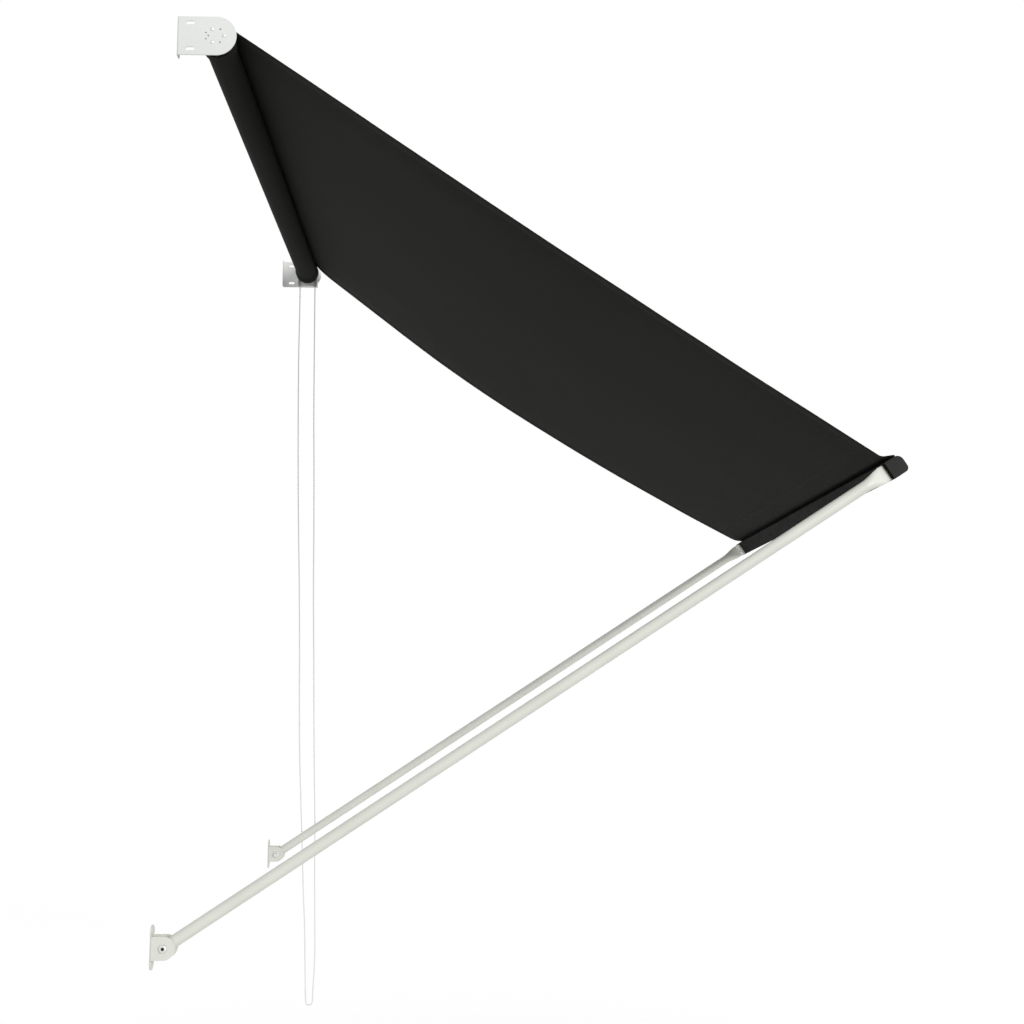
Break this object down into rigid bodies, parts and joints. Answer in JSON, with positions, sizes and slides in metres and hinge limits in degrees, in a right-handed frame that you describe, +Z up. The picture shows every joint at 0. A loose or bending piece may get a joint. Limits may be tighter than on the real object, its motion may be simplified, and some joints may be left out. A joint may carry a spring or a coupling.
{
  "type": "drop-arm awning",
  "caption": "Wall-mounted drop-arm awning: a bead-chain roller lets out a dark canvas that hinged arms hold away from the wall by a front bar.",
  "frame": {"origin": "on the wall plane, at mid-width, level with the roller's axis", "axes": "+X towards the chain end, +Y into the wall, +Z up"},
  "size_m": [1.5042, 1.3798, 2.1375],
  "materials": {
    "white_coat": "satin",
    "arm_coat": "satin",
    "white_plastic": "satin",
    "chain_plastic": "gloss",
    "nylon": "matte",
    "zinc": "satin",
    "galvanised": "satin",
    "dark_coat": "satin",
    "dark_plastic": "matte",
    "canvas": "matte"
  },
  "bodies": {
    "wall_frame": {"left_roller_bracket": "white_coat", "right_roller_bracket": "white_coat", "left_hub_rivet_1": "zinc", "left_hub_rivet_2": "zinc", "left_hub_rivet_3": "zinc", "right_hub_rivet_1": "zinc", "right_hub_rivet_2": "zinc", "right_hub_rivet_3": "zinc", "left_arm_bracket": "arm_coat", "right_arm_bracket": "arm_coat", "left_pivot_bolt": "zinc", "right_pivot_bolt": "zinc", "left_pivot_nut": "zinc", "right_pivot_nut": "zinc", "left_outer_washer": "nylon", "right_outer_washer": "nylon", "left_inner_washer": "nylon", "right_inner_washer": "nylon", "idler_pin": "white_plastic", "clutch_base": "white_plastic", "clutch_spring": "zinc", "chain_over_wheel": "chain_plastic", "bead_chain": "chain_plastic", "canopy_fabric": "canvas"},
    "roller": {"roller_tube": "galvanised", "idler_plug": "white_plastic", "chain_wheel": "white_plastic", "fabric_roll": "canvas"},
    "swing_frame": {"left_arm": "arm_coat", "right_arm": "arm_coat", "left_pivot_bush": "nylon", "right_pivot_bush": "nylon", "left_upper_tab_screw": "zinc", "left_lower_tab_screw": "zinc", "right_upper_tab_screw": "zinc", "right_lower_tab_screw": "zinc", "front_bar": "dark_coat", "left_bar_cap": "dark_plastic", "right_bar_cap": "dark_plastic", "hem_rod": "dark_plastic"}
  },
  "joints": [
    {"name": "arm_swing", "type": "hinge", "parent": "wall_frame", "child": "swing_frame", "pos_m": [0, -0.024, -1.683], "axis": [-1, 0, 0], "range_deg": [0, 53], "deforming": ["canopy_fabric"]},
    {"name": "roller_spin", "type": "hinge", "parent": "wall_frame", "child": "roller", "pos_m": [0, -0.074, 0], "axis": [-1, 0, 0], "range_deg": [0, 2525]}
  ],
  "couplings": [
    {"joint": "roller_spin", "follows": "arm_swing", "ratio": 47.6}
  ]
}
